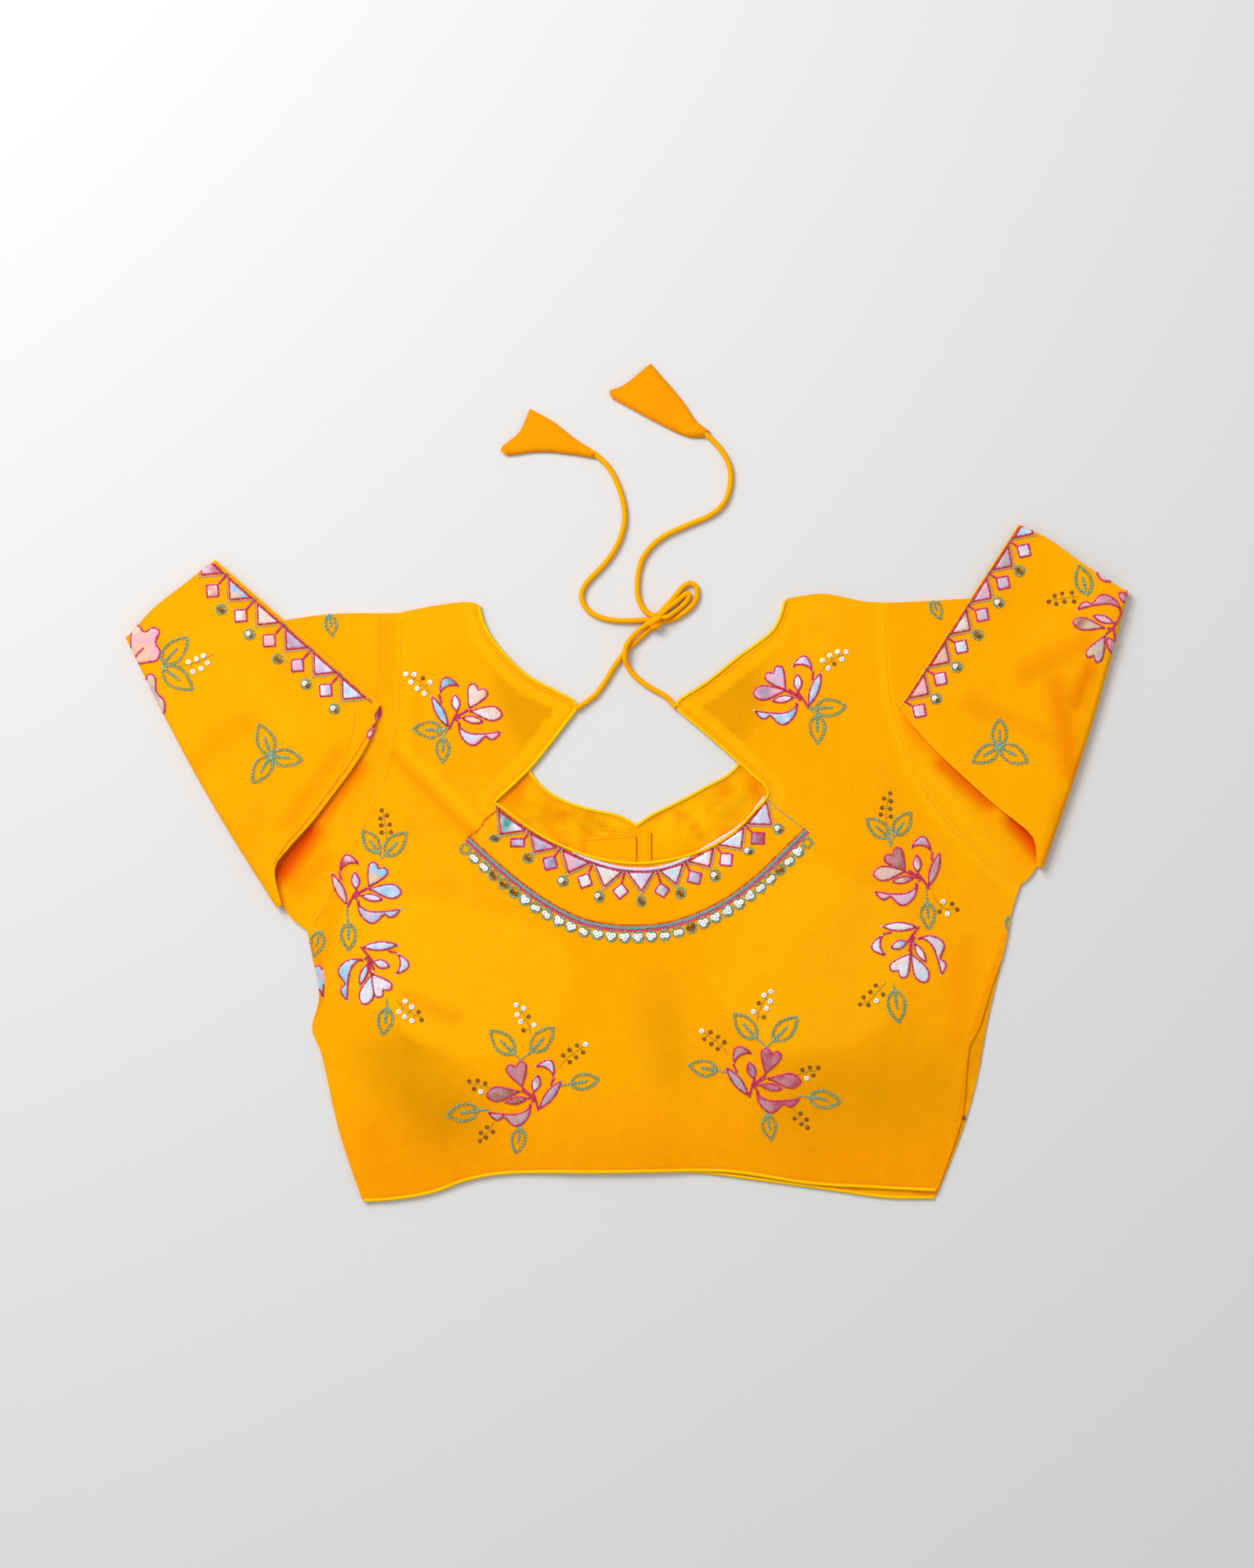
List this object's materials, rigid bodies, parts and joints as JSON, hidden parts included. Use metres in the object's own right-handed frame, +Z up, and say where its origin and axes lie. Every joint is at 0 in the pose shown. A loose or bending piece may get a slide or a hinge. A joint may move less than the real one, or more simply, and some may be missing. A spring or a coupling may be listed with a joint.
{
  "type": "choli blouse",
  "caption": "Cropped choli blouse laid flat with its back up: deep shaped back neck closed by a tied cord, applique flowers and folded-back elbow sleeves",
  "frame": {"origin": "middle of the underside of the laid-flat blouse's box, cord left out, on the surface it lies on", "axes": "+Z up out of the surface, +X across the blouse towards the sleeve on the right of the picture, +Y from hem to neck"},
  "size_m": [0.677, 0.5665, 0.0088],
  "materials": {
    "marigold_cotton": "plain thin cotton, slightly see-through, matt",
    "lemon_piping": "bias piping, slightly shinier than the cloth",
    "marigold_cord": "stitched cloth cord, matt",
    "pad_cloth": "soft pale padding cloth, matt"
  },
  "bodies": {
    "root": {"back_panel": "marigold_cotton", "front_left": "marigold_cotton", "front_right": "marigold_cotton", "sleeve_left": "marigold_cotton", "sleeve_right": "marigold_cotton", "placket_underlap": "marigold_cotton", "placket_eye_strip": "marigold_cotton", "neck_piping_back": "lemon_piping", "neck_piping_front_left": "lemon_piping", "neck_piping_front_right": "lemon_piping", "hem_piping_back": "lemon_piping", "hem_piping_front_left": "lemon_piping", "hem_piping_front_right": "lemon_piping", "cuff_piping_left": "lemon_piping", "cuff_piping_right": "lemon_piping", "cup_pad_left": "pad_cloth", "cup_pad_right": "pad_cloth", "dori_left": "marigold_cord", "dori_right": "marigold_cord", "dori_knot": "marigold_cord", "dori_bow_outer": "marigold_cord", "dori_bow_inner": "marigold_cord", "dori_tail_left": "marigold_cord", "dori_tail_right": "marigold_cord", "tassel_left": "marigold_cord", "tassel_right": "marigold_cord"}
  },
  "joints": []
}
